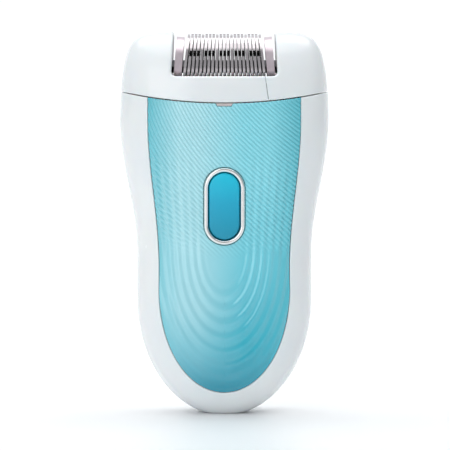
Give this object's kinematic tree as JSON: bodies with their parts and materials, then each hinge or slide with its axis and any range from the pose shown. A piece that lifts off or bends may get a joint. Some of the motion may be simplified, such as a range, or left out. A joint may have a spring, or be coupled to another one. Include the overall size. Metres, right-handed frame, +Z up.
{
  "type": "epilator",
  "caption": "Hand-held epilator: an oval two-shell handle with a rippled panel and oval switch, and a lift-off head with a row of rotating tweezer discs.",
  "frame": {"origin": "middle of the small flat foot, at the mouth of the supply inlet", "axes": "+Z up the handle towards the disc row, +X to the right of the front, +Y to the back"},
  "size_m": [0.0656, 0.0371, 0.12],
  "materials": {
    "shell_white": "polished pearl white ABS",
    "panel_turquoise": "high gloss, rippled",
    "ring_chrome": "polished plate",
    "button_blue": "satin",
    "release_grey": "satin",
    "steel": "machined",
    "disc_steel": "polished",
    "brass": "turned",
    "board_green": "lacquered laminate",
    "dark_plastic": "moulded",
    "pale_plastic": "moulded acetal",
    "rubber": "moulded",
    "clear_window": "clear acrylic"
  },
  "bodies": {
    "handle": {"front_shell": "shell_white", "rear_shell": "shell_white", "front_panel": "panel_turquoise", "switch_ring": "ring_chrome", "button_seal": "rubber", "circuit_board": "board_green", "switch_body": "dark_plastic", "board_components": "dark_plastic", "light_lens": "clear_window", "light_led": "clear_window", "motor_can": "steel", "motor_end_cap": "dark_plastic", "motor_cradle": "dark_plastic", "gear_plate": "dark_plastic", "gear_pin": "steel", "top_deck": "dark_plastic", "inlet_socket": "dark_plastic", "inlet_pins": "brass", "supply_leads": "rubber", "housing_screws": "steel", "release_spring": "steel"},
    "power_button": {"power_button": "button_blue"},
    "switch_plunger": {"switch_plunger": "pale_plastic"},
    "motor_rotor": {"motor_shaft": "steel", "armature": "steel", "motor_pinion": "brass"},
    "reduction": {"reduction_gear": "pale_plastic"},
    "release_button": {"release_button": "release_grey"},
    "head": {"head_frame": "shell_white", "gear_cover": "shell_white", "head_chassis": "dark_plastic", "end_cheek_left": "steel", "end_cheek_right": "steel", "bearing_bushes": "brass", "idler_pin": "steel"},
    "head_idler": {"head_idler_gear": "pale_plastic"},
    "drum": {"drum_axle": "steel", "drum_gear": "pale_plastic"},
    "plain_disc_1": {"plain_disc_1": "disc_steel"},
    "notched_disc_1": {"notched_disc_1": "disc_steel"},
    "notched_disc_2": {"notched_disc_2": "disc_steel"},
    "notched_disc_3": {"notched_disc_3": "disc_steel"},
    "plain_disc_2": {"plain_disc_2": "disc_steel"},
    "notched_disc_4": {"notched_disc_4": "disc_steel"},
    "notched_disc_5": {"notched_disc_5": "disc_steel"},
    "notched_disc_6": {"notched_disc_6": "disc_steel"},
    "plain_disc_3": {"plain_disc_3": "disc_steel"},
    "notched_disc_7": {"notched_disc_7": "disc_steel"},
    "notched_disc_8": {"notched_disc_8": "disc_steel"},
    "notched_disc_9": {"notched_disc_9": "disc_steel"},
    "plain_disc_4": {"plain_disc_4": "disc_steel"},
    "notched_disc_10": {"notched_disc_10": "disc_steel"},
    "notched_disc_11": {"notched_disc_11": "disc_steel"},
    "notched_disc_12": {"notched_disc_12": "disc_steel"},
    "plain_disc_5": {"plain_disc_5": "disc_steel"},
    "notched_disc_13": {"notched_disc_13": "disc_steel"},
    "notched_disc_14": {"notched_disc_14": "disc_steel"},
    "notched_disc_15": {"notched_disc_15": "disc_steel"},
    "plain_disc_6": {"plain_disc_6": "disc_steel"}
  },
  "joints": [
    {"name": "button_press", "type": "slide", "parent": "handle", "child": "power_button", "axis": [0, 1, 0], "range_m": [0, 0.0008], "stiffness_N_per_m": 800, "springref_m": -0.0006},
    {"name": "plunger_press", "type": "slide", "parent": "handle", "child": "switch_plunger", "axis": [0, 1, 0], "range_m": [0, 0.0008]},
    {"name": "release_press", "type": "slide", "parent": "handle", "child": "release_button", "axis": [0, -1, 0], "range_m": [0, 0.0015], "stiffness_N_per_m": 800, "springref_m": -0.001, "deforming": ["release_spring"]},
    {"name": "motor_spin", "type": "hinge", "parent": "handle", "child": "motor_rotor", "pos_m": [0, 0.002, 0.07631], "axis": [1, 0, 0], "continuous": true},
    {"name": "reduction_spin", "type": "hinge", "parent": "handle", "child": "reduction", "pos_m": [0, 0, 0.0856], "axis": [1, 0, 0], "continuous": true},
    {"name": "head_lift", "type": "slide", "parent": "handle", "child": "head", "axis": [0, 0, 1], "range_m": [0, 0.035]},
    {"name": "idler_spin", "type": "hinge", "parent": "head", "child": "head_idler", "pos_m": [0.02, 0, 0.097], "axis": [1, 0, 0], "continuous": true},
    {"name": "drum_spin", "type": "hinge", "parent": "head", "child": "drum", "pos_m": [0, 0, 0.109], "axis": [1, 0, 0], "continuous": true},
    {"name": "plain_disc_1_spin", "type": "hinge", "parent": "head", "child": "plain_disc_1", "pos_m": [-0.0122, 0, 0.109], "axis": [0.9936, 0, -0.1132], "continuous": true},
    {"name": "notched_disc_1_spin", "type": "hinge", "parent": "head", "child": "notched_disc_1", "pos_m": [-0.01098, 0, 0.109], "axis": [0.9948, 0, -0.1019], "continuous": true},
    {"name": "notched_disc_2_spin", "type": "hinge", "parent": "head", "child": "notched_disc_2", "pos_m": [-0.00976, 0, 0.109], "axis": [0.9959, 0, -0.0906], "continuous": true},
    {"name": "notched_disc_3_spin", "type": "hinge", "parent": "head", "child": "notched_disc_3", "pos_m": [-0.00854, 0, 0.109], "axis": [0.9968, 0, -0.0793], "continuous": true},
    {"name": "plain_disc_2_spin", "type": "hinge", "parent": "head", "child": "plain_disc_2", "pos_m": [-0.00732, 0, 0.109], "axis": [0.9977, 0, -0.068], "continuous": true},
    {"name": "notched_disc_4_spin", "type": "hinge", "parent": "head", "child": "notched_disc_4", "pos_m": [-0.0061, 0, 0.109], "axis": [0.9984, 0, -0.0567], "continuous": true},
    {"name": "notched_disc_5_spin", "type": "hinge", "parent": "head", "child": "notched_disc_5", "pos_m": [-0.00488, 0, 0.109], "axis": [0.999, 0, -0.0454], "continuous": true},
    {"name": "notched_disc_6_spin", "type": "hinge", "parent": "head", "child": "notched_disc_6", "pos_m": [-0.00366, 0, 0.109], "axis": [0.9994, 0, -0.034], "continuous": true},
    {"name": "plain_disc_3_spin", "type": "hinge", "parent": "head", "child": "plain_disc_3", "pos_m": [-0.00244, 0, 0.109], "axis": [0.9997, 0, -0.0227], "continuous": true},
    {"name": "notched_disc_7_spin", "type": "hinge", "parent": "head", "child": "notched_disc_7", "pos_m": [-0.00122, 0, 0.109], "axis": [0.9999, 0, -0.0113], "continuous": true},
    {"name": "notched_disc_8_spin", "type": "hinge", "parent": "head", "child": "notched_disc_8", "pos_m": [0, 0, 0.109], "axis": [1, 0, 0], "continuous": true},
    {"name": "notched_disc_9_spin", "type": "hinge", "parent": "head", "child": "notched_disc_9", "pos_m": [0.00122, 0, 0.109], "axis": [0.9999, 0, 0.0113], "continuous": true},
    {"name": "plain_disc_4_spin", "type": "hinge", "parent": "head", "child": "plain_disc_4", "pos_m": [0.00244, 0, 0.109], "axis": [0.9997, 0, 0.0227], "continuous": true},
    {"name": "notched_disc_10_spin", "type": "hinge", "parent": "head", "child": "notched_disc_10", "pos_m": [0.00366, 0, 0.109], "axis": [0.9994, 0, 0.034], "continuous": true},
    {"name": "notched_disc_11_spin", "type": "hinge", "parent": "head", "child": "notched_disc_11", "pos_m": [0.00488, 0, 0.109], "axis": [0.999, 0, 0.0454], "continuous": true},
    {"name": "notched_disc_12_spin", "type": "hinge", "parent": "head", "child": "notched_disc_12", "pos_m": [0.0061, 0, 0.109], "axis": [0.9984, 0, 0.0567], "continuous": true},
    {"name": "plain_disc_5_spin", "type": "hinge", "parent": "head", "child": "plain_disc_5", "pos_m": [0.00732, 0, 0.109], "axis": [0.9977, 0, 0.068], "continuous": true},
    {"name": "notched_disc_13_spin", "type": "hinge", "parent": "head", "child": "notched_disc_13", "pos_m": [0.00854, 0, 0.109], "axis": [0.9968, 0, 0.0793], "continuous": true},
    {"name": "notched_disc_14_spin", "type": "hinge", "parent": "head", "child": "notched_disc_14", "pos_m": [0.00976, 0, 0.109], "axis": [0.9959, 0, 0.0906], "continuous": true},
    {"name": "notched_disc_15_spin", "type": "hinge", "parent": "head", "child": "notched_disc_15", "pos_m": [0.01098, 0, 0.109], "axis": [0.9948, 0, 0.1019], "continuous": true},
    {"name": "plain_disc_6_spin", "type": "hinge", "parent": "head", "child": "plain_disc_6", "pos_m": [0.0122, 0, 0.109], "axis": [0.9936, 0, 0.1132], "continuous": true}
  ],
  "couplings": [
    {"joint": "plunger_press", "follows": "button_press", "ratio": 1},
    {"joint": "reduction_spin", "follows": "motor_spin", "ratio": -0.35714},
    {"joint": "idler_spin", "follows": "motor_spin", "ratio": 0.39683},
    {"joint": "drum_spin", "follows": "motor_spin", "ratio": -0.32468},
    {"joint": "plain_disc_1_spin", "follows": "motor_spin", "ratio": -0.32468},
    {"joint": "notched_disc_1_spin", "follows": "motor_spin", "ratio": -0.32468},
    {"joint": "notched_disc_2_spin", "follows": "motor_spin", "ratio": -0.32468},
    {"joint": "notched_disc_3_spin", "follows": "motor_spin", "ratio": -0.32468},
    {"joint": "plain_disc_2_spin", "follows": "motor_spin", "ratio": -0.32468},
    {"joint": "notched_disc_4_spin", "follows": "motor_spin", "ratio": -0.32468},
    {"joint": "notched_disc_5_spin", "follows": "motor_spin", "ratio": -0.32468},
    {"joint": "notched_disc_6_spin", "follows": "motor_spin", "ratio": -0.32468},
    {"joint": "plain_disc_3_spin", "follows": "motor_spin", "ratio": -0.32468},
    {"joint": "notched_disc_7_spin", "follows": "motor_spin", "ratio": -0.32468},
    {"joint": "notched_disc_8_spin", "follows": "motor_spin", "ratio": -0.32468},
    {"joint": "notched_disc_9_spin", "follows": "motor_spin", "ratio": -0.32468},
    {"joint": "plain_disc_4_spin", "follows": "motor_spin", "ratio": -0.32468},
    {"joint": "notched_disc_10_spin", "follows": "motor_spin", "ratio": -0.32468},
    {"joint": "notched_disc_11_spin", "follows": "motor_spin", "ratio": -0.32468},
    {"joint": "notched_disc_12_spin", "follows": "motor_spin", "ratio": -0.32468},
    {"joint": "plain_disc_5_spin", "follows": "motor_spin", "ratio": -0.32468},
    {"joint": "notched_disc_13_spin", "follows": "motor_spin", "ratio": -0.32468},
    {"joint": "notched_disc_14_spin", "follows": "motor_spin", "ratio": -0.32468},
    {"joint": "notched_disc_15_spin", "follows": "motor_spin", "ratio": -0.32468},
    {"joint": "plain_disc_6_spin", "follows": "motor_spin", "ratio": -0.32468}
  ]
}
